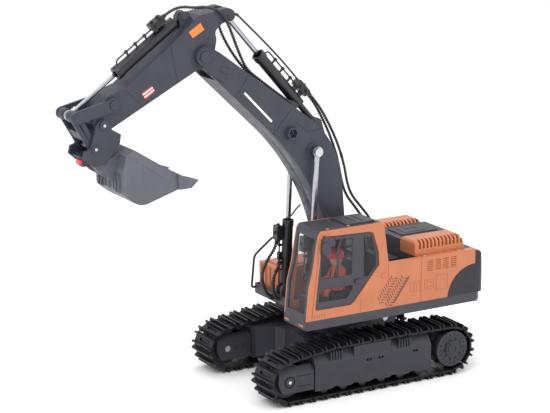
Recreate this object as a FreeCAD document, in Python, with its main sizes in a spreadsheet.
import FreeCAD, Part
import math
import os
import re

from FreeCAD import Placement, Rotation, Vector

# Toy crawler excavator, in millimetres.
# X runs forward, Y to the cab side, Z up from the ground.
# Shapes are drawn about the swing axis (X = 0 there); every sub-part is then
# shifted by swing_x, so that the origin is the middle of the footprint.

doc = FreeCAD.newDocument("toy_excavator")

# ---------------------------------------------------------------- driving sizes

DRIVING = [
    ("swing_x", -71.5),          # swing axis, from the middle of the footprint
    ("wall", 2.0),               # moulded wall
    ("running_fit", 0.05),       # radial play of a pin or shaft in its bore
    ("track_y", 57.2),           # centre plane of a track
    ("shoe_width", 36.4),
    ("shoe_thickness", 2.0),
    ("grouser_rise", 3.2),
    ("idler_x", 88.3),
    ("idler_z", 23.0),
    ("idler_belt", 17.8),        # radius of the chain's inner face round the idler
    ("sprocket_x", -89.0),
    ("sprocket_z", 25.5),
    ("sprocket_belt", 20.3),     # the same round the sprocket
    ("axle_bore", 3.05),
    ("axle_radius", 3.0),
    ("frame_inner", 41.0),
    ("frame_outer", 73.5),
    ("house_half", 67.8),
    ("deck_base", 66.6),
    ("deck_floor", 69.6),
    ("deck_top", 75.3),
    ("body_top", 117.5),
    ("cab_inner", 28.4),
    ("cab_skin", 1.5),
    ("foot_z", 97.0),            # boom foot pin, above the swing axis
    ("foot_pin", 3.0),
    ("boom_half", 16.9),
    ("fork_half", 13.3),         # half the gap in the boom's fork
    ("head_x", 141.0),           # pin between boom and arm
    ("head_z", 317.0),
    ("ram_y", 22.7),             # centre plane of a boom cylinder
    ("arm_half", 12.9),
    ("tip_x", 240.4),            # pin between arm and quick coupler
    ("tip_z", 266.5),
    ("rocker_x", 229.9),
    ("rocker_z", 283.1),
    ("link_x", 265.5),           # pin between rocker, link and bucket cylinder
    ("link_z", 275.3),
    ("eye_x", 248.7),            # pin between link and quick coupler
    ("eye_z", 246.4),
    ("cheek_in", 13.2),          # inner face of rocker and coupler plates
    ("cheek_out", 16.2),
    ("bucket_half", 27.0),
]

sheet = doc.addObject("Spreadsheet::Sheet", "Dims")
for row, (alias, value) in enumerate(DRIVING, 1):
    sheet.set("A%d" % row, alias)
    sheet.set("B%d" % row, str(value))
    sheet.setAlias("B%d" % row, alias)
doc.recompute()


class Sizes:
    """The sheet's values under their own names."""


size = Sizes()
for alias, _ in DRIVING:
    setattr(size, alias, float(sheet.get(alias)))

SUB_PARTS = []
AXES = {"x": Vector(1, 0, 0), "y": Vector(0, 1, 0), "z": Vector(0, 0, 1)}
FOOT = (0.0, size.foot_z)
HEAD = (size.head_x, size.head_z)
TIP = (size.tip_x, size.tip_z)
ROCKER = (size.rocker_x, size.rocker_z)
LINK = (size.link_x, size.link_z)
EYE = (size.eye_x, size.eye_z)


# ---------------------------------------------------------------- building helpers

def formula(value):
    """A number or a formula over the sheet's names, as an expression."""
    return re.sub(r"[a-z]\w*", lambda word: "Dims." + word.group(0), str(value))


def block(x, y, z):
    """A box between three (low, high) pairs."""
    thing = doc.addObject("Part::Box", "Block")
    for side, corner, (low, high) in zip(("Length", "Width", "Height"), "xyz", (x, y, z)):
        thing.setExpression(side, formula("(%s) - (%s)" % (high, low)))
        thing.setExpression("Placement.Base." + corner, formula(low))
    return thing


def rod(axis, centre, radius, low, high):
    """A cylinder along an axis; centre gives the other two places in order."""
    thing = doc.addObject("Part::Cylinder", "Rod")
    thing.setExpression("Radius", formula(radius))
    thing.setExpression("Height", formula("(%s) - (%s)" % (high, low)))
    thing.Placement = Placement(Vector(), Rotation(AXES["z"], AXES[axis]))
    thing.setExpression("Placement.Base." + axis, formula(low))
    for corner, place in zip([name for name in "xyz" if name != axis], centre):
        thing.setExpression("Placement.Base." + corner, formula(place))
    return thing


def cone(axis, centre, radius_low, radius_high, low, high):
    """A cone along an axis, between two radii."""
    thing = doc.addObject("Part::Cone", "Taper")
    thing.setExpression("Radius1", formula(radius_low))
    thing.setExpression("Radius2", formula(radius_high))
    thing.setExpression("Height", formula("(%s) - (%s)" % (high, low)))
    thing.Placement = Placement(Vector(), Rotation(AXES["z"], AXES[axis]))
    thing.setExpression("Placement.Base." + axis, formula(low))
    for corner, place in zip([name for name in "xyz" if name != axis], centre):
        thing.setExpression("Placement.Base." + corner, formula(place))
    return thing


def union(*things):
    thing = doc.addObject("Part::MultiFuse", "Union")
    thing.Shapes = list(things)
    return thing


def minus(base, *tools):
    thing = doc.addObject("Part::Cut", "Difference")
    thing.Base = base
    thing.Tool = tools[0] if len(tools) == 1 else union(*tools)
    return thing


def common(*things):
    thing = doc.addObject("Part::MultiCommon", "Common")
    thing.Shapes = list(things)
    return thing


def group(*things):
    """Separate solids kept side by side in one sub-part."""
    thing = doc.addObject("Part::Compound", "Group")
    thing.Links = list(things)
    return thing


def shaped(shape):
    """A shape worked out with Part's own functions."""
    thing = doc.addObject("Part::Feature", "Shaped")
    thing.Shape = shape
    return thing


def sub_part(label, thing):
    """Name a finished sub-part and set it about the footprint's middle."""
    thing.Label = label
    thing.setExpression("Placement.Base.x", "Dims.swing_x")
    SUB_PARTS.append(thing)
    return thing


def pair(name, thing):
    """A cab-side sub-part and its mirror image on the other side."""
    left = sub_part("left_" + name, thing)
    right = doc.addObject("Part::Mirroring", "Mirror")
    right.Source = left
    right.Base = Vector()
    right.Normal = AXES["y"]
    right.Label = "right_" + name
    SUB_PARTS.append(right)


def moved(vertex, toward, distance):
    """The point at a distance from a vertex on the way to another."""
    step = Vector(toward) - Vector(vertex)
    return Vector(vertex) + step * (distance / step.Length)


def flat(point):
    return Vector(point[0], point[1], 0)


def arc(start, through, end):
    """A circular edge, always drawn anticlockwise."""
    turn = (through - start).cross(end - through).z
    return Part.Arc(start, through, end) if turn > 0 else Part.Arc(end, through, start)


def outline(*points):
    """A closed loop of (u, v) or (u, v, corner radius) points."""
    edges = []
    starts, ends = [], []
    for index, point in enumerate(points):
        here = flat(point)
        before = flat(points[index - 1])
        after = flat(points[(index + 1) % len(points)])
        radius = point[2] if len(point) > 2 else 0
        if not radius:
            starts.append(here)
            ends.append(here)
            continue
        turn = (before - here).getAngle(after - here)
        tangent = radius / math.tan(turn / 2)
        first = moved(here, before, tangent)
        last = moved(here, after, tangent)
        middle = moved(here, (first + last) / 2, radius / math.sin(turn / 2) - radius)
        edges.append(arc(first, middle, last))
        starts.append(first)
        ends.append(last)
    for index, end in enumerate(ends):
        start = starts[(index + 1) % len(points)]
        along_edge = (flat(points[(index + 1) % len(points)]) - flat(points[index])).normalize()
        if (start - end).dot(along_edge) < -1e-6:
            raise ValueError("corner radii too large at %s" % (points[index],))
        if (start - end).Length > 1e-6:
            edges.append(Part.LineSegment(end, start))
    return edges


def inset(points, depth):
    """The same corners moved inwards by a wall."""
    area = sum(a[0] * b[1] - a[1] * b[0] for a, b in zip(points, points[1:] + points[:1]))
    side = 1 if area > 0 else -1
    result = []
    for index, point in enumerate(points):
        here = flat(point)
        into = (here - flat(points[index - 1])).normalize()
        out = (flat(points[(index + 1) % len(points)]) - here).normalize()
        normals = [Vector(-way.y, way.x, 0) * side for way in (into, out)]
        shift = (normals[0] + normals[1]) * (depth / (1 + normals[0].dot(normals[1])))
        radius = point[2] if len(point) > 2 else 0
        convex = into.cross(out).z * side > 0
        if radius:
            radius = max(radius - depth, 0) if convex else radius + depth
        result.append((here.x + shift.x, here.y + shift.y, radius))
    return result


def circle(u, v, radius):
    return [Part.Circle(Vector(u, v, 0), AXES["z"], radius)]


def sketch(body, plane, height, loops):
    """Closed loops on one of the body's own origin planes."""
    drawing = body.newObject("Sketcher::SketchObject", "Profile")
    role = plane + "_Plane"
    support = [face for face in body.Origin.OriginFeatures if face.Role == role][0]
    drawing.AttachmentSupport = [(support, "")]
    drawing.MapMode = "FlatFace"
    drawing.setExpression("AttachmentOffset.Base.z", formula(height))
    for loop in loops:
        for edge in loop:
            drawing.addGeometry(edge, False)
    return drawing


def feature(kind, body, plane, low, high, loops):
    height = "-(%s)" % high if plane == "XZ" else low
    step = body.newObject("PartDesign::" + kind, kind)
    step.Profile = sketch(body, plane, height, loops)
    step.setExpression("Length", formula("(%s) - (%s)" % (high, low)))
    return step


def pad(body, plane, low, high, *loops):
    """Add the loops, from low to high along the plane's own axis."""
    feature("Pad", body, plane, low, high, loops)
    return body


def pocket(body, plane, low, high, *loops):
    """Cut the loops out, from low to high, and make sure that it cut."""
    doc.recompute()
    before = body.Shape.Volume
    step = feature("Pocket", body, plane, low, high, loops)
    step.Reversed = True
    doc.recompute()
    if body.Shape.Volume > before - 1e-3:
        raise ValueError("a pocket cut nothing")
    return body


def plate(plane, low, high, *loops):
    """A body padded from closed loops."""
    return pad(doc.addObject("PartDesign::Body", "Plate"), plane, low, high, *loops)


def mirrored_points(points):
    """Corners on the positive side, then their images across the first axis."""
    return points + [(u, -v) + tuple(rest) for u, v, *rest in reversed(points)]


def tube(path, radius):
    """Straight runs joined by tangent arcs: path is (point, bend radius) pairs."""
    points = [Vector(*point) for point, _ in path]
    bends = [bend for _, bend in path]
    edges = []
    start = points[0]
    for before, here, after, bend in zip(points, points[1:], points[2:], bends[1:]):
        turn = (before - here).getAngle(after - here)
        tangent = bend / math.tan(turn / 2)
        first = here + (before - here).normalize() * tangent
        last = here + (after - here).normalize() * tangent
        middle = (first + last) / 2 - here
        middle = here + middle.normalize() * (bend / math.sin(turn / 2) - bend)
        if (first - start).Length > 1e-6:
            edges.append(Part.LineSegment(start, first).toShape())
        edges.append(Part.Arc(first, middle, last).toShape())
        start = last
    edges.append(Part.LineSegment(start, points[-1]).toShape())
    line = Part.Wire(edges)
    section = Part.Wire(Part.Circle(points[0], points[1] - points[0], radius).toShape())
    solid = line.makePipeShell([section], True, True)
    expected = math.pi * radius ** 2 * line.Length
    if abs(solid.Volume / expected - 1) > 0.01:
        raise ValueError("a tube's volume is off: %s" % solid.Volume)
    return solid


def hose(points, radius):
    """A hose whose every bend is as large as its two runs allow."""
    spots = [Vector(*point) for point in points]
    bends = [0]
    for before, here, after in zip(spots, spots[1:], spots[2:]):
        turn = math.pi - (before - here).getAngle(after - here)
        run = min((here - before).Length, (after - here).Length)
        bends.append(0.45 * run / math.tan(turn / 2))
    bends.append(0)
    print("hose bends", [round(bend, 1) for bend in bends[1:-1]])
    return tube(list(zip(points, bends)), radius)


# ---------------------------------------------------------------- undercarriage

TRACK_FRONT, TRACK_REAR = 62.0, -64.5


def build_carbody():
    """The X-shaped centre casting with its neck and the stub of the swing bearing."""
    corner = [(40, 18), (46, 26), (63, 33), (63, 41), (40, 41), (22, 30)]
    half = corner + [(-u, v) for u, v in reversed(corner)]
    casting = plate("XY", 14, 42, outline(*mirrored_points(half)))
    pocket(casting, "XY", 14, 40, outline(*inset(mirrored_points(half), size.wall)))
    pad(casting, "XY", 40, 52, circle(0, 0, 22))
    pad(casting, "XY", 52, 72, circle(0, 0, 14))
    pocket(casting, "XY", 30, 72, circle(0, 0, 5))
    posts = [rod("z", (x, y), 3, 16, 40) for x in (-30, 30) for y in (-16, 16)]
    sub_part("carbody", union(casting, *posts))
    cover = [(38.4, 16.4), (20, 27)]
    cover = cover + [(-u, v) for u, v in reversed(cover)]
    sub_part("carbody_bottom_cover", plate("XY", 12, 13.9, outline(*mirrored_points(cover))))


def roller_places():
    return [-54 + 20.8 * index for index in range(6)]


def build_track_frame():
    """Hollow side frame with step, carrier fins and a scalloped lower edge."""
    shell = [(41, 10), (73.5, 10), (73.5, 34.5), (66.5, 44), (47.5, 44), (41, 34.5)]
    frame = plate("YZ", TRACK_REAR, TRACK_FRONT, outline(*shell))
    hollow = inset(shell, size.wall)
    hollow[0] = (43, 0)
    hollow[1] = (71.5, 0)
    pocket(frame, "YZ", TRACK_REAR + 2, TRACK_FRONT - 2, outline(*hollow))
    fin = [(72.9, 35), (72.9, 43.6), (70.6, 46), (50, 46), (50, 43.5), (66, 43.5)]
    fins = [
        plate("YZ", start + 2.9 * index, start + 2.9 * index + 1.5, outline(*fin))
        for start in (32.2, -42) for index in range(5)
    ]
    step = block((-20, 20), (60, 72.6), (34, 46))
    step = minus(step, block((-18, 18), (61, 70.8), (30, 42)))
    frame = union(frame, step, *fins)
    scallops = [rod("y", (x, 5.6), 6, 71, 74) for x in (-43.6, -22.8, -2, 18.8, 39.6)]
    ovals = [
        rod("y", (x + side, 31), 1.2, 71, 74) for x in (4, -47, -9) for side in (-1.6, 1.6)
    ]
    bores = [rod("y", (x, 10), "axle_radius / 2 + 0.02", 41, 71.5) for x in roller_places()]
    pair("track_frame", minus(frame, *(scallops + ovals + bores)))


def build_idler_guard():
    """Fork round the idler, with a recess for the axle's screw."""
    section = [(72.7, 12.5), (72.7, 30), (67.5, 36), (47, 36), (41.8, 30), (41.8, 12.5)]
    side = [(63, 12.5), (95.5, 12.5, 2), (98.6, 18), (100, 24), (98.8, 36), (63, 36)]
    fork = common(
        plate("YZ", 60, 102, outline(*section)),
        plate("XZ", 41, 74, outline(*side)),
    )
    tongue = block((TRACK_FRONT, 63.2), (45, 70), (14, 33))
    slot = block((69.5, 102), (47.5, 67), (10, 40))
    recess = rod("y", ("idler_x", "idler_z"), 5.5, 71, 74)
    bore = rod("y", ("idler_x", "idler_z"), "axle_bore", 40, 74)
    grooves = [block((66, 80.5), (71.9, 74), (z, z + 0.8)) for z in (17.4, 27.2)]
    dimples = [rod("y", (x, 24), 2.4, 41, 42.6) for x in (72, 80)]
    pair("idler_guard", minus(union(fork, tongue), slot, recess, bore, *(grooves + dimples)))


def belt_circles():
    """Wheels and carrier pads that the chain's inner face runs round, clockwise from above."""
    return [
        (size.sprocket_x, size.sprocket_z, size.sprocket_belt),
        (-35.0, 26.9, 20.0),
        (39.0, 26.9, 20.0),
        (size.idler_x, size.idler_z, size.idler_belt),
    ]


def belt_runs():
    """Straight runs and arcs of the chain: (start angle, wheel, turn) and lengths."""
    wheels = belt_circles()
    headings = []
    for (x1, z1, r1), (x2, z2, r2) in zip(wheels, wheels[1:] + wheels[:1]):
        gap = math.hypot(x2 - x1, z2 - z1)
        headings.append(math.atan2(z2 - z1, x2 - x1) + math.asin((r2 - r1) / gap))
    runs = []
    for index, (x, z, r) in enumerate(wheels):
        into, out = headings[index - 1], headings[index]
        turn = (into - out) % (2 * math.pi)
        runs.append((r * turn, x, z, r, into, turn))
        after = wheels[(index + 1) % len(wheels)]
        gap = math.hypot(after[0] - x, after[1] - z)
        run = math.sqrt(gap ** 2 - (after[2] - r) ** 2)
        runs.append((run, x, z, r, out, 0))
    return runs


def belt_place(distance):
    """Point of the chain's inner face and its heading, at a distance along the belt."""
    for length, x, z, r, heading, turn in belt_runs():
        if distance <= length:
            if turn:
                heading -= distance / r
                distance = 0
            return (
                x - r * math.sin(heading) + distance * math.cos(heading),
                z + r * math.cos(heading) + distance * math.sin(heading),
                heading,
            )
        distance -= length
    return belt_place(0)


def build_track_chain():
    """Thirty-seven shoes, each a plate with a window and two grouser bars."""
    shoes = 37
    total = sum(run[0] for run in belt_runs())
    pitch = total / shoes
    low = size.track_y - size.shoe_width / 2
    length = pitch - 1.0
    bar = 1.8
    plate_box = Part.makeBox(length, size.shoe_width, size.shoe_thickness, Vector(-length / 2, low, 0))
    window = Part.makeBox(3.0, 10.0, 4.0, Vector(-1.5, size.track_y - 5.0, -1))
    shoe = plate_box.cut(window)
    for x in (-length / 2 + 0.6, length / 2 - 0.6 - bar):
        rise = size.shoe_thickness + size.grouser_rise
        shoe = shoe.fuse(Part.makeBox(bar, size.shoe_width, rise, Vector(x, low, 0)))
    shoe = shoe.removeSplitter()
    solids = []
    for index in range(shoes):
        x1, z1 = belt_place(index * pitch)[:2]
        x2, z2 = belt_place((index + 1) % shoes * pitch)[:2]
        x, z = (x1 + x2) / 2, (z1 + z2) / 2
        heading = math.atan2(z2 - z1, x2 - x1)
        copy = shoe.copy()
        copy.Placement = Placement(Vector(x, 0, z), Rotation(AXES["y"], -math.degrees(heading)))
        solids.append(copy)
    pair("track_chain", shaped(Part.makeCompound(solids)))


def gear_points(teeth, root, tip, share, turned=0.0):
    """Straight-sided teeth; share is the part of the pitch that a tooth's foot takes."""
    points = []
    pitch = 2 * math.pi / teeth
    for index in range(teeth):
        middle = index * pitch + turned
        for radius, offset in ((root, -share), (tip, -share * 0.6), (tip, share * 0.6), (root, share)):
            angle = middle + offset * pitch / 2
            points.append((radius * math.cos(angle), radius * math.sin(angle)))
    return points


def build_wheels():
    """Idler and toothed drive sprocket, each on its own axle."""
    idler = union(
        rod("y", ("idler_x", "idler_z"), 16.2, 48, 53),
        rod("y", ("idler_x", "idler_z"), 16.2, 61.5, 66.5),
        rod("y", ("idler_x", "idler_z"), 13.5, 53, 61.5),
    )
    idler = minus(idler, rod("y", ("idler_x", "idler_z"), "axle_bore", 40, 74))
    teeth = [(size.sprocket_x + u, size.sprocket_z + v) for u, v in gear_points(10, 15.4, 18.7, 0.62)]
    centre = ("sprocket_x", "sprocket_z")
    wheel = union(
        plate("XZ", 54, 61, outline(*teeth)),
        rod("y", centre, 15.6, 50.4, 71),
        rod("y", centre, 17, 69, 72.4),
        rod("y", centre, 7.5, 72.4, 73.6),
    )
    dots = [
        rod("y", (size.sprocket_x + 13.6 * math.cos(a), size.sprocket_z + 13.6 * math.sin(a)), 0.9, 71.6, 73)
        for a in [math.pi * index / 9 for index in range(18)]
    ]
    scallops = [
        rod("y", (size.sprocket_x + 9.6 * math.cos(a), size.sprocket_z + 9.6 * math.sin(a)), 1.9, 71.7, 73)
        for a in [math.pi * index / 5 for index in range(10)]
    ]
    wheel = minus(wheel, rod("y", centre, "axle_bore", 40, 75), *(dots + scallops))
    pair("idler", idler)
    pair("sprocket", wheel)


def build_drive():
    """Gearboxes behind the frames, axles, lower rollers and their screws."""
    boxes, axles, rollers, screws = [], [], [], []
    side_view = [(-64.5, 17), (-64.5, 36), (-84, 38, 4), (-101, 34, 8), (-101, 17, 8)]
    for side in (1, -1):
        low, high = sorted((side * 41.8, side * 50))
        box = plate("XZ", low, high, outline(*side_view))
        boxes.append(minus(box, rod("y", ("sprocket_x", "sprocket_z"), "axle_bore", low - 1, high + 1)))
        low, high = sorted((side * 42.2, side * 71))
        axles.append(rod("y", ("idler_x", "idler_z"), "axle_radius", low, high))
        axles.append(rod("y", ("sprocket_x", "sprocket_z"), "axle_radius", low, high))
        for x in roller_places():
            low, high = sorted((side * 46, side * 69))
            wheel = rod("y", (x, 10), 4.5, low, high)
            low, high = sorted((side * 41.4, side * 71.4))
            rollers.append(union(wheel, rod("y", (x, 10), "axle_radius / 2", low, high)))
        low, high = sorted((side * 71.1, side * 72.4))
        head = rod("y", ("idler_x", "idler_z"), 3.2, low, high)
        low, high = sorted((side * 71.8, side * 73))
        slot = block(("idler_x - 2", "idler_x + 2"), (low, high), ("idler_z - 0.4", "idler_z + 0.4"))
        screws.append(minus(head, slot))
    for x in (-30, 30):
        for y in (-16, 16):
            screws.append(rod("z", (x, y), 2.4, 10.8, 11.9))
    sub_part("drive_gearboxes", group(*boxes))
    sub_part("track_axles", group(*axles))
    sub_part("track_rollers", group(*rollers))
    sub_part("undercarriage_screws", group(*screws))


def build_slew_gear():
    """Fixed ring gear on the carbody and the pinion that walks round it."""
    ring = plate("XY", 52.1, 57, outline(*gear_points(48, 23.0, 24.4, 0.42)))
    sub_part("slew_gear", pocket(ring, "XY", 52.1, 57, circle(0, 0, 14.05)))
    teeth = [(u - 30, v) for u, v in gear_points(12, 4.9, 6.3, 0.42, math.pi / 12)]
    pinion = plate("XY", 52.4, 57, outline(*teeth))
    sub_part("slew_pinion", pad(pinion, "XY", 57, 69.3, circle(-30, 0, 1.5)))


# ---------------------------------------------------------------- house: deck and body

DECK = [
    (-126, -61.5, 3), (-119.5, -67.8, 3), (43.7, -67.8), (46, -64), (46, 27),
    (68, 27, 1.5), (68, 67.8, 1.5), (-119.5, 67.8, 3), (-126, 61.5, 3),
]
REAR_CURVE = [(-86, 75.3), (-95.5, 95), (-117, 103.5)]


def build_deck():
    """Tray with the swing collar, boom foot ears and cylinder ears."""
    tray = plate("XY", "deck_base", "deck_top", outline(*DECK))
    pocket(tray, "XY", "deck_floor", "deck_top", outline(*inset(DECK, size.wall)))
    collar = minus(
        union(rod("z", (0, 0), 38.4, 53, "deck_base"), rod("z", (0, 0), 42, 62, "deck_base")),
        rod("z", (0, 0), 36.4, 50, "deck_base"),
    )
    bearing = rod("z", (0, 0), 18, "deck_floor", 71.6)
    ears = []
    foot_ear = [(-16, 68), (16, 68), (9, 106, 9), (-9, 106, 9)]
    for low, high in ((18.2, 21.5), (-21.5, -18.2)):
        ears.append(plate("XZ", low, high, outline(*foot_ear)))
    ram_ear = [(29, 68), (45, 68), (43.2, 84.7, 6), (30.8, 84.7, 6)]
    for low, high in ((17.6, 20.2), (26.4, 28.2), (-20.2, -17.6), (-28.2, -26.4)):
        ears.append(plate("XZ", low, high, outline(*ram_ear)))
    holes = [
        rod("z", (0, 0), "14 + running_fit", 60, 75),
        rod("z", (-30, 0), "1.5 + running_fit", 60, 75),
        rod("y", FOOT, "foot_pin + running_fit", -30, 30),
        rod("y", (37, 78.5), "2 + running_fit", -30, 30),
        block((-101, -94), (-5, 5), (60, 75)),
    ]
    dashes = [block((67.3, 69), (y, y + 8), (68.6, 70.6)) for y in (29, 54)]
    sub_part("deck", minus(union(tray, collar, bearing, *ears), *(holes + dashes)))


def side_panel(front):
    """Orange skin from the cab's rear to the counterweight, with its top ledge."""
    rear = [Vector(x, z, 0) for x, z in REAR_CURVE]
    loop = [arc(*rear)]
    corners = [rear[2], flat((-117, 117.5)), flat((front, 117.5)), flat((front, 75.3)), rear[0]]
    loop += [Part.LineSegment(a, b) for a, b in zip(corners, corners[1:])]
    return plate("XZ", "house_half - wall", "house_half", loop)


def build_side_panels():
    """Left and right skins; the right one also closes the bay behind the tank."""
    for sign, label, front in ((1, "left_side_panel", -20), (-1, "right_side_panel", -19)):
        skin = union(
            side_panel(front),
            block((-56, front), ("house_half - 6", "house_half - wall"), (115.5, 117.5)),
            block((-117, -56), (60, "house_half - wall"), (115.5, 117.5)),
        )
        vents = [
            block((x, x + 6.2), (67, 69), (z, z + 0.8))
            for x in [-95.4 + 8.7 * column for column in range(4)]
            for z in [104 + 1.8 * line for line in range(6)]
        ]
        seam = block((-56.4, -55.8), (67.4, 69), (75, 118))
        skin = minus(skin, seam, *vents)
        if sign < 0:
            image = doc.addObject("Part::Mirroring", "Mirror")
            image.Source = skin
            image.Normal = AXES["y"]
            wall = block((-21, -19), ("-(house_half - wall)", -17), ("deck_floor", 103.4))
            skin = union(image, wall, block((-21, -19), ("-(house_half - wall)", -62), (103, 117.5)))
        sub_part(label, skin)


def build_counterweight():
    """Hollow rear casting whose cheeks start at a quarter curve."""
    rear = [Vector(x, z, 0) for x, z in REAR_CURVE]
    loop = [arc(*rear)]
    corners = [rear[2]]
    corners += [flat(p) for p in ((-117, 115.5), (-122, 115.5), (-124.5, 113), (-127.8, 78), (-126, 75.3))]
    corners += [rear[0]]
    loop += [Part.LineSegment(a, b) for a, b in zip(corners, corners[1:])]
    block_out = plate("XZ", "-house_half", "house_half", loop)
    room = [(-80, 77.3), (-125.7, 77.3), (-122.6, 112), (-121, 113.5), (-80, 113.5)]
    pocket(block_out, "XZ", "-(house_half - 2.2)", "house_half - 2.2", outline(*room))
    plan = [(-80, -67.8), (-128, -67.8, 7), (-128, 67.8, 7), (-80, 67.8)]
    rounding = plate("XY", 70, 120, outline(*plan))
    recess = block((-130, -126.6), (-30, 30), (84, 98))
    sub_part("counterweight", minus(common(block_out, rounding), recess))


def hood(rear_top, low, high, slot_face, slots):
    """Low slatted hood; slot_face is the edge that its slots run in from."""
    side = [(-54, 117.5), (-110, 117.5), (rear_top, 131.5, 3), (-54, 131.5, 3)]
    cross = [(low, 117.5), (high, 117.5), (high, 131.5, 4), (low, 131.5, 4)]
    skin = common(plate("XZ", low, high, outline(*side)), plate("YZ", -111, -53, outline(*cross)))
    room = block((rear_top - 0.5, -56), (low + 2, high - 2), (110, 129.5))
    cuts = [
        block((x, x + 2.1), (slot_face - 6, slot_face + 0.5), (123.5, 133))
        for x in [-107 + 4.2 * index for index in range(slots)]
    ]
    floor = block((rear_top - 2, -55), (slot_face - 8, slot_face - 1.6), (117.5, 127.5))
    return minus(union(minus(skin, room), common(floor, skin)), *cuts)


def build_engine_cover():
    """Top plate with its raised centre, the sunk front floor and the exhaust."""
    sub_part("left_hood", hood(-105.8, 35.2, 60, 60, 12))
    sub_part("right_hood", hood(-104, -31, -7.2, -7.2, 11))
    top = union(
        block((-116.8, -54), (-59.8, 59.8), (115.5, 117.4)),
        minus(
            block((-110, -54), (-6.8, 34.8), (116, 128.5)),
            block((-108, -56), (-4.8, 32.8), (110, 126.5)),
        ),
        block((-102, -62), (2, 26), (128.4, 129.6)),
        block((-56, -54), (-59.8, 59.8), (104, 116)),
        block((-56, -20.2), (-61.5, 61.5), (103.5, 105.3)),
        block((-21.5, -20.2), (-16.8, 28), ("deck_floor", 104)),
        block((-50, -36), (22, 40), (105, 112)),
        block((-47, -28), (-20, 8), (105, 110)),
        rod("z", (-28, 52), 4.2, 105, 112),
        cone("z", (-28, 52), 3.4, 2.2, 112, 121),
        block((-52, -24), (-56, -30), (105, 109.5)),
    )
    rear_lip = block((-116.8, -114.8), (-59.8, 59.8), (113.6, 116))
    room = block((-108, -56), (-4.8, 32.8), (112, 117))
    exhaust_bore = rod("z", (-28, 52), 1.3, 114, 122)
    sub_part("engine_cover", minus(union(top, rear_lip), room, exhaust_bore))


def build_right_side():
    """Ribbed tank ahead of the bay and the rail that stands on it."""
    shell = block((-18.9, 40), (-65.7, -31), ("deck_floor", 97))
    room = block((-16.9, 38), (-63.7, -33), (60, 95))
    ribs = [block((40, 41.2), (y, y + 1.6), (77, 95)) for y in (-62, -54, -46, -38)]
    lid = rod("z", (-6, -45), 6, 97, 99.2)
    step = block((8, 34), (-60, -36), (97, 98.2))
    sub_part("right_tank", union(minus(shell, room), lid, step, *ribs))
    route = [(46, 72.6), (50.2, 72.6), (47, 103.8), (27, 118.7), (12, 119), (6, 112), (6, 97)]
    bends = [0, 1.9, 9, 7, 4, 4, 0]
    path = [((x, -63.0, z), bend) for (x, z), bend in zip(route, bends)]
    sub_part("handrail", shaped(tube(path, 1.1)))


def build_inside():
    """Battery, circuit board, swing motor and the switch under the rear deck."""
    battery = union(
        block((-85.6, -60), (-34, 34), ("deck_floor", 88)),
        block((-90, -58), (-30, 30), ("deck_floor", 71.6)),
        block((-80, -68), (34, 38), (74, 84)),
    )
    sub_part("battery_pack", battery)
    board = union(
        block((-54, -26), (24, 60), (74, 75.6)),
        block((-50, -38), (30, 42), (75.6, 79)),
        block((-36, -30), (34, 54), (75.6, 81)),
        rod("z", (-45, 52), 3, 75.6, 84),
        *[rod("z", (x, y), 2, "deck_floor", 74) for x in (-51, -29) for y in (27, 57)],
    )
    sub_part("control_board", board)
    motor = union(
        rod("z", (-30, 0), 8.2, "deck_floor + 0.1", 82),
        rod("z", (-30, 0), 7.5, 82, 99),
        rod("z", (-30, 0), 2, 99, 101),
    )
    sub_part("swing_motor", minus(motor, rod("z", (-30, 0), 1.8, "deck_floor", 72)))
    switch = union(
        block((-99.6, -95.4), (-4.6, 0.4), (64.9, 70)),
        block((-103, -92), (-7, 3), (69.9, 71.4)),
    )
    sub_part("power_switch", switch)
    pins = [
        rod("y", FOOT, "foot_pin", -22.6, 22.6),
        *[rod("y", (37, 78.5), 2, low, high) for low, high in ((17.6, 28.2), (-28.2, -17.6))],
    ]
    heads = [rod("y", FOOT, 5, 22.6, 23.8), rod("y", FOOT, 5, -23.8, -22.6)]
    sub_part("house_pins", group(union(pins[0], *heads), *pins[1:]))
    screws = [rod("z", (x, y), 2, 117.5, 118.4) for x in (-62, -100) for y in (-63.4, 63.4)]
    sub_part("house_screws", group(*screws))


# ---------------------------------------------------------------- cab

CAB = [
    (68, 75.3), (65.3, 105.3), (60.6, 123.3), (56.9, 146), (55.2, 154), (52.5, 157.6, 2),
    (-14.5, 157.3, 3), (-19.7, 119), (-19.7, 75.3),
]
CAB_HOLE = [
    (59, 84.4, 2), (53.4, 131), (52.6, 147.3), (48.5, 152.3), (0.6, 150.7), (-3.2, 148.8),
    (-9.3, 130), (-9.9, 117.6), (16.3, 87.4), (20.6, 84.2),
]
DOOR_PANES = [
    [(51.2, 148.9, 1.5), (17.8, 147, 1.5), (19.2, 112.4, 1.5), (52.4, 112.8, 1.5)],
    [(6.5, 147.5, 1), (-1.6, 146.5, 1), (-6.6, 128), (-6.7, 117.5), (1.5, 108.5, 1), (6.5, 108.5, 1)],
    [(53.7, 102.6, 1), (18, 102.8, 1), (18.6, 98.2), (24.4, 91), (54.7, 91.6, 1)],
]


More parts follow.
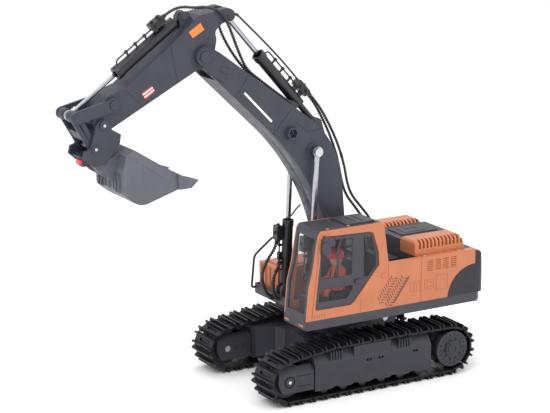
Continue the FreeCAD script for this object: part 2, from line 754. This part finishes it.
def build_cab():
    """Grey cab shell, orange side frames, door, glass, seat and driver."""
    shell = plate("XZ", "cab_inner + cab_skin", "house_half - cab_skin", outline(*CAB))
    pocket(
        shell, "XZ", "cab_inner + cab_skin", "house_half - cab_skin",
        outline(*inset(CAB, size.wall)),
    )
    screen_hole = block((50, 70), (33.5, 62.7), (81, 150))
    rear_hole = block((-22, -12), (34, 62), (122, 150))
    roof_hatch = block((-8, 22), (34, 62), (156.5, 159.2))
    cap = union(rod("y", (-14.4, 106.9), 2.2, 61, 68.5), block((-18, -14), (61, 65), (105, 109)))
    cut_shell = minus(shell, screen_hole, rear_hole)
    console = block((40, 56), (36, 60), (77.2, 92))
    sub_part("cab_shell", union(cut_shell, roof_hatch, cap, console))
    frames = [
        plate("XZ", low, high, outline(*CAB), outline(*CAB_HOLE), circle(-14.4, 106.9, 2.25))
        for low, high in (("house_half - cab_skin", "house_half"), ("cab_inner", "cab_inner + cab_skin"))
    ]
    slit = [(62.6, 78), (55.6, 134.6), (55, 134.6), (61.9, 78)]
    near = pocket(frames[0], "XZ", 67.1, "house_half", outline(*slit))
    sub_part("cab_side_frames", group(near, frames[1]))
    leaf = inset(CAB_HOLE, 0.15)
    door = plate("XZ", 65.2, 66.8, outline(*leaf), *[outline(*pane) for pane in DOOR_PANES])
    handle = plate("XZ", 66.8, 68.8, outline((9, 104.2), (16, 104.2), (16, 107.4), (9, 107.4)))
    sub_part("cab_door", union(door, handle))
    glass = [plate("XZ", 65.6, 66.4, outline(*inset(pane, 0.03))) for pane in DOOR_PANES]
    glass.append(plate("XZ", "cab_inner + 0.4", "cab_inner + 1.2", outline(*inset(CAB_HOLE, 0.03))))
    band = minus(plate("XZ", 33.6, 62.6, outline(*inset(CAB, 0.5))),
                 plate("XZ", 30, 66, outline(*inset(CAB, 1.4))))
    glass.append(common(band, block((50, 70), (33, 63), (81.1, 149.9))))
    band_rear = minus(plate("XZ", 34.1, 61.9, outline(*inset(CAB, 0.5))),
                      plate("XZ", 30, 66, outline(*inset(CAB, 1.4))))
    glass.append(common(band_rear, block((-22, -10), (34, 62), (122.1, 149.9))))
    sub_part("cab_windows", group(*glass))
    seat_side = [(8, 88, 2), (34, 88, 3), (34, 94.5, 3), (13.5, 93.5, 2), (10.5, 120, 2.5), (4, 120, 2.5)]
    seat = union(
        plate("XZ", 37, 59, outline(*seat_side)),
        block((14, 30), (41, 55), (77.3, 88.5)),
    )
    sub_part("driver_seat", seat)
    body = union(
        plate("XZ", 39, 57, outline((15, 95, 3), (31, 95, 3), (28.5, 117, 4), (16, 117, 4))),
        rod("z", (23, 48), 4.2, 115, 122),
        block((28, 40), (40.5, 46.5), (95.2, 101)),
        block((28, 40), (49.5, 55.5), (95.2, 101)),
        block((34.6, 39.6), (40.5, 46.5), (77.4, 101)),
        block((34.6, 39.6), (49.5, 55.5), (77.4, 101)),
    )
    head = doc.addObject("Part::Sphere", "Head")
    head.Radius = 8.2
    head.Placement.Base = Vector(24.5, 48, 126.3)
    sub_part("driver", union(body, head))


# ---------------------------------------------------------------- boom

BOOM = [
    (-9, 88, 8.5), (9, 88, 8.5), (10, 126, 30), (33.5, 201.5, 220), (152.5, 316.5, 8.2),
    (141.7, 328.7, 8.2), (126, 319.3, 10), (1.7, 226.4, 88.8),
]
RAM_ROD_PIN = (29.5, 219.6)
RAM_BARREL_PIN = (37.0, 78.5)
ARM_RAM_FOOT = (19.5, 242.5)
ARM_RAM_HEAD = (112.2, 350.2)
BUCKET_RAM_FOOT = (155.6, 352.1)


def half_plate(side, plane_low, plane_high, *loops):
    """A plate on the cab side, or its image on the other side."""
    low, high = (plane_low, plane_high) if side > 0 else ("-(%s)" % plane_high, "-(%s)" % plane_low)
    return plate("XZ", low, high, *loops)


def half_rod(side, centre, radius, low, high):
    if side < 0:
        low, high = "-(%s)" % high, "-(%s)" % low
    return rod("y", centre, radius, low, high)


def on_boom_top(distance, height, *radius):
    """A spot along the boom's upper edge and above it, from where the back's bend ends."""
    along_x, along_z = 0.799, 0.601
    x = 33.5 + along_x * distance - along_z * height
    z = 249.9 + along_z * distance + along_x * height
    return (x, z) + radius


def build_boom():
    """Two moulded half shells that meet on the centre plane."""
    for side, label in ((1, "boom_left_shell"), (-1, "boom_right_shell")):
        skin = minus(
            half_plate(side, 0, "boom_half", outline(*BOOM)),
            half_plate(side, -1, "boom_half - wall", outline(*inset(BOOM, size.wall))),
        )
        fork = common(
            half_plate(side, 0, "boom_half", outline(*BOOM)),
            half_rod(side, HEAD, 28, 0, "boom_half"),
        )
        bosses = [
            half_rod(side, FOOT, 6.5, 0, "boom_half - wall + 0.5"),
            half_rod(side, RAM_ROD_PIN, 7.5, "boom_half - 0.5", 18.4),
            half_rod(side, RAM_ROD_PIN, 5, 0, "boom_half - wall + 0.5"),
            half_rod(side, HEAD, 8, "boom_half - 0.5", 17.9),
            half_rod(side, FOOT, 8, "boom_half - 0.5", 17.7),
        ]
        ear = [(10, 229.6), (27, 242.4), (24.4, 245.4, 3.4), (20, 247.6, 3), (15, 245.4, 3)]
        bosses.append(half_plate(side, 3.5, 6, outline(*ear)))
        clamp = [on_boom_top(14, -1), on_boom_top(21.9, -1), on_boom_top(21.9, 5, 1), on_boom_top(14, 5, 1)]
        bosses.append(half_plate(side, 6.3, 10.8, outline(*clamp)))
        holes = [
            half_rod(side, HEAD, 26, -1, "fork_half"),
            half_rod(side, HEAD, "foot_pin + running_fit", -1, 20),
            half_rod(side, FOOT, "foot_pin + running_fit", -1, 20),
            half_rod(side, RAM_ROD_PIN, "2.5 + running_fit", -1, 20),
            half_rod(side, ARM_RAM_FOOT, "2 + running_fit", -1, 6.1),
            half_rod(side, ARM_RAM_FOOT, 9.5, -1, 3.5),
        ]
        for (x1, z1), (x2, z2) in (((97.4, 296.5), (110.3, 277)), ((53, 260.8), (71.9, 239.4))):
            across = Vector(z2 - z1, x1 - x2, 0).normalize() * 0.3
            groove = [(x1 + across.x, z1 + across.y), (x2 + across.x, z2 + across.y),
                      (x2 - across.x, z2 - across.y), (x1 - across.x, z1 - across.y)]
            holes.append(half_plate(side, "boom_half - 0.4", "boom_half + 1", outline(*groove)))
        sub_part(label, minus(union(skin, fork, *bosses), *holes))
    pins = [
        union(
            rod("y", HEAD, "foot_pin", -18.6, 18.6),
            rod("y", HEAD, 5, 17.9, 19.2),
            rod("y", HEAD, 5, -19.2, -17.9),
        ),
        union(
            rod("y", RAM_ROD_PIN, 2.5, -26.6, 26.6),
            rod("y", RAM_ROD_PIN, 4, 25.8, 27),
            rod("y", RAM_ROD_PIN, 4, -27, -25.8),
        ),
        rod("y", ARM_RAM_FOOT, 2, -6, 6),
    ]
    sub_part("boom_pins", group(*pins))


# ---------------------------------------------------------------- hydraulic cylinders

def along(foot, head, y, radius, low, high):
    """A cylinder on the line between two pins, from low to high off the first."""
    way = Vector(head[0] - foot[0], 0, head[1] - foot[1]).normalize()
    base = Vector(foot[0], y, foot[1]) + way * low
    thing = doc.addObject("Part::Cylinder", "Rod")
    thing.Radius = radius
    thing.Height = high - low
    thing.Placement = Placement(base, Rotation(AXES["z"], way))
    return thing


def barrel(foot, head, y, radius, bore, start, floor, mouth, eye, eye_half, pin, neck, lip=0.8):
    """Tube with its eye; floor is where the bore starts, neck the stem's radius, lip the collar's rise."""
    body = union(
        along(foot, head, y, radius, start, mouth - 4),
        along(foot, head, y, radius + lip, mouth - 6, mouth),
        along(foot, head, y, neck, 0, start + 1),
        rod("y", foot, eye, y - eye_half, y + eye_half),
    )
    return minus(
        body,
        along(foot, head, y, bore, floor, mouth + 1),
        rod("y", foot, pin + size.running_fit, y - eye_half - 4, y + eye_half + 4),
    )


def piston(foot, head, y, radius, length, eye, eye_half, pin, sleeve=1.2):
    """Rod with its eye, drawn from its own pin back towards the barrel."""
    body = union(
        along(head, foot, y, radius, 0, length),
        along(head, foot, y, radius + sleeve, 0, eye + 4),
        rod("y", head, eye, y - eye_half, y + eye_half),
    )
    return minus(body, rod("y", head, pin + size.running_fit, y - eye_half - 4, y + eye_half + 4))


def valve_block(foot, head, start, end, near, far, low, high):
    """A block beside a barrel, between two heights over its axis."""
    way = Vector(head[0] - foot[0], head[1] - foot[1], 0).normalize()
    up = Vector(-way.y, way.x, 0)
    spots = [flat(foot) + way * u + up * v for u, v in ((start, near), (end, near), (end, far), (start, far))]
    rounding = (0, 0, 1, 1)
    return plate("XZ", low, high, outline(*[(spot.x, spot.y, r) for spot, r in zip(spots, rounding)]))


def build_cylinders():
    """Boom cylinders on both sides, arm cylinder on top, bucket cylinder on the arm."""
    sides = (size.ram_y, -size.ram_y)
    barrels = []
    for y in sides:
        tube_body = barrel(RAM_BARREL_PIN, RAM_ROD_PIN, y, 5.0, 4.45, 7.4, 12, 68, 5.4, 2.2, 2, 2.1, 0.4)
        low, high = (20, 28) if y > 0 else (-28, -20)
        block_body = valve_block(RAM_BARREL_PIN, RAM_ROD_PIN, 49, 63, -12.8, -6.4, low, high)
        feet = [
            valve_block(RAM_BARREL_PIN, RAM_ROD_PIN, u, u + 3, -8, -4.7, low + 2, high - 2)
            for u in (51, 58)
        ]
        fitting = valve_block(RAM_BARREL_PIN, RAM_ROD_PIN, 29.5, 37, -8.6, -4.7, low + 2, high - 2)
        barrels.append(union(tube_body, block_body, fitting, *feet))
    sub_part("boom_cylinder_barrels", group(*barrels))
    sub_part("boom_cylinder_rods", group(*[
        piston(RAM_BARREL_PIN, RAM_ROD_PIN, y, 2.5, 104, 5, 2.4, 2.5, 0.3)
        for y in sides
    ]))
    arm_barrel = barrel(ARM_RAM_FOOT, ARM_RAM_HEAD, 0, 5.3, 4.45, 24, 26, 90, 3.9, 3.1, 2, 2.9)
    arm_valve = valve_block(ARM_RAM_FOOT, ARM_RAM_HEAD, 26, 42, 8, 15, -4.5, 4.5)
    arm_feet = [valve_block(ARM_RAM_FOOT, ARM_RAM_HEAD, u, u + 3, 4.8, 9, -2.5, 2.5) for u in (29, 37)]
    sub_part("arm_cylinder_barrel", union(arm_barrel, arm_valve, *arm_feet))
    sub_part("arm_cylinder_rod", piston(ARM_RAM_FOOT, ARM_RAM_HEAD, 0, 2.4, 109, 4.4, 3.1, 2))
    bucket_barrel = barrel(BUCKET_RAM_FOOT, LINK, 0, 5.6, 3.6, 8.5, 13, 79, 4.4, 3.0, 2, 2.9)
    bucket_valve = valve_block(BUCKET_RAM_FOOT, LINK, 15.2, 30, 8, 14.5, -3, 6)
    bucket_feet = [valve_block(BUCKET_RAM_FOOT, LINK, u, u + 3, 5.1, 9, -2, 2.5) for u in (17, 25)]
    sub_part("bucket_cylinder_barrel", union(bucket_barrel, bucket_valve, *bucket_feet))
    sub_part("bucket_cylinder_rod", piston(BUCKET_RAM_FOOT, LINK, 0, 2, 108, 4.6, 2.8, 2))


# ---------------------------------------------------------------- arm and bucket linkage

ARM = [
    (243.5, 256.5, 7.3), (250.1, 269.7, 7.3), (235.5, 290.2, 7), (216.7, 296.8), (172.8, 329.2),
    (143.4, 353.5), (113.3, 358, 9), (104.5, 350, 4.2), (121.5, 344), (128.5, 338, 5),
    (127, 330, 10), (132, 306, 13), (148.5, 304.2), (229.7, 263),
]


def build_arm():
    """Two half shells with the ears of the two cylinders."""
    for side, label in ((1, "arm_left_shell"), (-1, "arm_right_shell")):
        skin = minus(
            half_plate(side, 0, "arm_half", outline(*ARM)),
            half_plate(side, -1, "arm_half - wall", outline(*inset(ARM, size.wall))),
        )
        bosses = [
            half_rod(side, place, radius, 0, "arm_half - wall + 0.5")
            for place, radius in ((HEAD, 6.5), (TIP, 5), (ROCKER, 4.5))
        ]
        bosses.append(half_rod(side, ARM_RAM_HEAD, 5, 4.6, "arm_half - wall + 0.5"))
        ear = [(146, 348), (151.5, 356.5, 3), (156.6, 356.8, 3), (160.2, 352, 2), (158.4, 341)]
        bosses.append(half_plate(side, 3.4, 5.8, outline(*ear)))
        holes = [
            half_rod(side, HEAD, "foot_pin + running_fit", -1, 20),
            half_rod(side, TIP, "2.5 + running_fit", -1, 20),
            half_rod(side, ROCKER, "2 + running_fit", -1, 20),
            half_rod(side, ARM_RAM_HEAD, "2 + running_fit", -1, 20),
            half_rod(side, BUCKET_RAM_FOOT, "2 + running_fit", -1, 20),
            half_rod(side, ARM_RAM_HEAD, 12, -1, 4.6),
            half_rod(side, BUCKET_RAM_FOOT, 9, -1, 3.4),
        ]
        for (x1, z1), (x2, z2) in (((217.2, 294.5), (200.7, 278)), ((172.8, 328.8), (166.3, 296))):
            across = Vector(z2 - z1, x1 - x2, 0).normalize() * 0.3
            groove = [(x1 + across.x, z1 + across.y), (x2 + across.x, z2 + across.y),
                      (x2 - across.x, z2 - across.y), (x1 - across.x, z1 - across.y)]
            holes.append(half_plate(side, "arm_half - 0.4", "arm_half + 1", outline(*groove)))
        sub_part(label, minus(union(skin, *bosses), *holes))
    pins = [
        rod("y", ARM_RAM_HEAD, 2, -12.6, 12.6),
        rod("y", BUCKET_RAM_FOOT, 2, -5.8, 5.8),
        union(
            rod("y", ROCKER, 2, -16.8, 16.8),
            rod("y", ROCKER, 3.6, 16.2, 17.2),
            rod("y", ROCKER, 3.6, -17.2, -16.2),
        ),
        union(
            rod("y", TIP, 2.5, -17, 17),
            rod("y", TIP, 4, 16.4, 17.6),
            rod("y", TIP, 4, -17.6, -16.4),
        ),
    ]
    sub_part("arm_pins", group(*pins))


def bar_points(start, end, radius):
    """Corners of a straight bar with round ends between two pins."""
    way = Vector(end[0] - start[0], end[1] - start[1], 0).normalize()
    across = Vector(-way.y, way.x, 0)
    first = flat(start) - way * radius
    last = flat(end) + way * radius
    side = across * radius
    corners = [first - side, last - side, last + side, first + side]
    return [(corner.x, corner.y, radius * 0.98) for corner in corners]


def build_linkage():
    """Rocker with its pin, H-shaped link, quick coupler with pin and button."""
    plates = []
    for side in (1, -1):
        plates.append(half_plate(side, "cheek_in", 16, outline(*bar_points(ROCKER, LINK, 5.4))))
        plates.append(half_rod(side, ROCKER, 6.3, "cheek_in", 16))
    cross_pin = rod("y", LINK, 2, -16.6, 16.6)
    rocker = minus(union(cross_pin, *plates), rod("y", ROCKER, "2 + running_fit", -20, 20))
    sub_part("rocker", rocker)
    arms = []
    for side in (1, -1):
        arms.append(half_plate(side, 9.8, 12.8, outline(*bar_points(LINK, EYE, 4.6))))
        arms.append(half_rod(side, LINK, 5.2, 3.4, 12.8))
    web = [(262.4, 261.6), (258, 254), (254.6, 256), (259, 263.6)]
    web = plate("XZ", -10, 10, outline(*web))
    link = minus(
        union(web, *arms),
        rod("y", LINK, "2 + running_fit", -20, 20),
        rod("y", EYE, 3.4, -20, 20),
    )
    sub_part("bucket_link", link)
    cheek = [
        (239.5, 273.6, 5), (247, 268.5, 5), (253.5, 247, 4), (258.9, 245.4), (260.5, 238.5),
        (251.7, 230.8), (239.2, 231.5), (225.3, 249.4), (224.1, 256.8), (232.5, 262),
    ]
    cheeks = [half_plate(side, "cheek_in", "cheek_out", outline(*cheek)) for side in (1, -1)]
    centre = [
        (226.5, 249.5), (238.5, 233.5), (251, 232), (259.5, 238.5),
        (254, 239.5), (243, 240.5), (234, 250.5),
    ]
    housing = block((251, 260), (2, "cheek_in"), (231.6, 239.8))
    body = union(plate("XZ", "-cheek_in", "cheek_in", outline(*centre)), housing, *cheeks)
    coupler = minus(
        body,
        rod("y", TIP, "2.5 + running_fit", -20, 20),
        rod("y", EYE, "2 + running_fit", -20, 20),
        block((254.2, 261), (3.9, 12.4), (233.2, 237.9)),
    )
    sub_part("quick_coupler", coupler)
    pin = union(
        rod("y", EYE, 2, -16.6, 16.6),
        rod("y", EYE, 3.4, 16.2, 17.2),
        rod("y", EYE, 3.4, -17.2, -16.2),
    )
    sub_part("link_pin", pin)
    sub_part("coupler_button", group(block((257, 262.5), (4.2, 12.1), (233.5, 237.6))))


def build_bucket():
    """Curved shell with side cutters, teeth, ribs and the seat for the coupler."""
    side_view = [
        (216.8, 244), (225.2, 239.1), (228.3, 226, 20), (228.3, 205.5, 6), (212.3, 192.2, 16),
        (174.5, 203.7), (164.5, 204.3), (161, 208.2), (166.5, 213.5), (189.2, 226.3),
    ]
    shell = plate("XZ", "-bucket_half", "bucket_half", outline(*side_view))
    room = [
        (216, 242), (223.2, 237.8), (226.2, 226, 18), (226.2, 206.3, 5), (212, 194.6, 14),
        (175, 205.9), (160, 206.6), (150, 212), (205, 250),
    ]
    pocket(shell, "XZ", "-(bucket_half - 2.2)", "bucket_half - 2.2", outline(*room))
    cutter = [(174.5, 203.7), (162.5, 203.9), (155.2, 210.4), (163.5, 213.6), (176, 217.5)]
    tooth = [(174.5, 203.8), (166, 203.9), (158.4, 208.9), (161.5, 210.4), (171, 208)]
    pieces = [shell]
    for low, high in ((26.6, 29.2), (-29.2, -26.6)):
        pieces.append(plate("XZ", low, high, outline(*cutter)))
    for y in (-19.5, -6.5, 6.5, 19.5):
        pieces.append(plate("XZ", y - 2.6, y + 2.6, outline(*tooth)))
    seat = [(224, 240), (238.5, 233.4), (250.8, 231.9), (243, 223), (229, 214), (225, 220)]
    for low, high in ((6.5, 12.8), (-12.8, -6.5)):
        pieces.append(plate("XZ", low, high, outline(*seat)))
    strip = [(228, 222), (230, 222), (230, 206), (228.1, 206)]
    for y in (-20, -14, 14, 20):
        pieces.append(plate("XZ", y - 0.8, y + 0.8, outline(*strip)))
    sub_part("bucket", union(*pieces))


# ---------------------------------------------------------------- hoses

# Routes of the hoses' centre lines, from fitting to fitting.
BOOM_HOSES = (
    [(26.3, -2.2, 270.4), (19, -2.2, 261.8), (11.5, -2.4, 249.5), (3, -2.6, 233.5), (-4.2, -2.4, 216),
     (-9.4, -2, 198), (-12.2, -1.8, 182), (-17, -1.8, 168), (-27, -2, 155.5), (-38, -2.4, 141),
     (-45.5, -2.6, 127), (-53.1, -2.6, 124)],
    [(26.3, 2.2, 270.4), (18.2, 2.2, 261.4), (9.5, 2.4, 248.5), (0.6, 2.6, 232), (-7, 2.6, 215),
     (-12.6, 2.4, 197.5), (-15.8, 2.2, 181), (-20.5, 2.2, 168.5), (-30, 2.4, 157), (-41, 2.8, 143.5),
     (-47.5, 3, 129.5), (-52.7, 3, 125.5)],
)
LONG_ARM_HOSE = [
    (174.8, 3, 353.3), (168, 3.4, 358.2), (157.5, 5, 361.4), (146, 8, 359.6), (134, 11.6, 360),
    (124, 15.4, 355.5), (117, 16.2, 344), (110.5, 13.4, 331), (103, 10.4, 315.5), (94.6, 8.8, 299.6),
    (80.2, 8.3, 288.4), (64, 8.5, 275.6), (49.7, 8.5, 265.1),
]
SHORT_ARM_HOSE = [
    (115.8, -7, 345), (114, -7, 339.4), (110.6, -6.6, 330), (103.4, -6.6, 317), (93, -7.4, 303),
    (80.4, -8.4, 289.4), (64.2, -8.7, 275.9), (49.7, -8.5, 265.1),
]
ARM_PRESSURE_LINE = [(103, 8, 349.6), (86, 7, 333.5), (70, 5.6, 318.2), (53, 4.2, 301), (37.6, 3, 283.6)]
FRONT_HOSES = (
    [(44.1, -25, 126.5), (46.4, -25.4, 119), (54, -27, 108.4), (59.6, -28, 95), (57, -28, 82),
     (51.8, -28, 73), (46.8, -28, 71.3)],
    [(42.5, -21.5, 107.3), (46.6, -21, 100.2), (51.8, -19.6, 92), (52.6, -18.6, 82), (50.8, -18, 74.4),
     (47.2, -18, 72.2)],
)
CYLINDER_LINE = [(36.4, -19.4, 147.6), (31.6, -18.4, 151.2), (27.4, -18.1, 157), (22.6, -18, 160.4)]


def build_hoses():
    """Corrugated hoses up the boom's back, over the arm's head and ahead of the house."""
    sub_part("boom_hose", group(*[shaped(hose(route, 1.5)) for route in BOOM_HOSES]))
    arm_hoses = [hose(LONG_ARM_HOSE, 1.5), hose(SHORT_ARM_HOSE, 1.5), hose(ARM_PRESSURE_LINE, 0.9)]
    sub_part("arm_hoses", group(*[shaped(solid) for solid in arm_hoses]))
    front = [hose(route, 1.8) for route in FRONT_HOSES] + [hose(CYLINDER_LINE, 0.8)]
    sub_part("front_hoses", group(*[shaped(solid) for solid in front]))


build_carbody()
build_track_frame()
build_idler_guard()
build_track_chain()
build_wheels()
build_drive()
build_slew_gear()
build_deck()
build_side_panels()
build_counterweight()
build_engine_cover()
build_right_side()
build_inside()
build_cab()
build_boom()
build_cylinders()
build_arm()
build_linkage()
build_bucket()
build_hoses()

# ---------------------------------------------------------------- checks and files

doc.recompute()
failed = [thing.Name for thing in doc.Objects if {"Invalid", "Error"} & set(thing.State)]
for thing in SUB_PARTS:
    if thing.Shape.isNull() or not thing.Shape.isValid() or not thing.Shape.Solids:
        failed.append(thing.Label)
if failed:
    raise RuntimeError("not built: %s" % failed)
os.makedirs("parts", exist_ok=True)
for thing in SUB_PARTS:
    thing.Shape.exportStep("parts/%s.step" % thing.Label)
    print(thing.Label, len(thing.Shape.Solids), thing.Shape.BoundBox)
